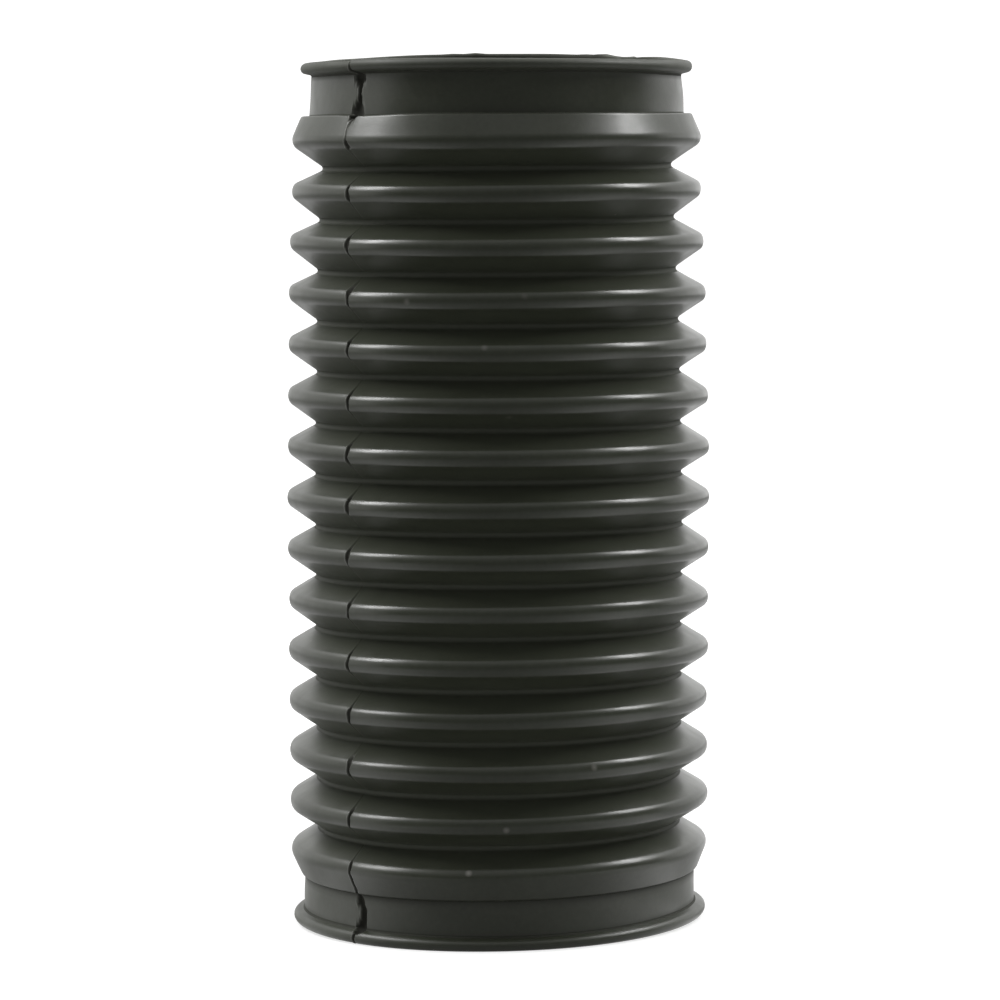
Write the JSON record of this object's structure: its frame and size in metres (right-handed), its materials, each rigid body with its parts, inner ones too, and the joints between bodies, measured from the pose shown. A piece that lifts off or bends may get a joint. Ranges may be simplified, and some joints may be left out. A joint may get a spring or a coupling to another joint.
{
  "type": "steering rack boot",
  "caption": "Moulded rubber bellows boot with a clamp collar at each end, which keeps dirt and water off a sliding steering rack.",
  "frame": {"origin": "centre of the large collar's end face, which the boot stands on", "axes": "+Z along the boot's axis, from the large collar to the small collar"},
  "size_m": [0.0758, 0.0754, 0.1547],
  "materials": {
    "rubber": "satin black moulded rubber with a mould parting line"
  },
  "bodies": {
    "root": {"rack_boot": "rubber"}
  },
  "joints": []
}
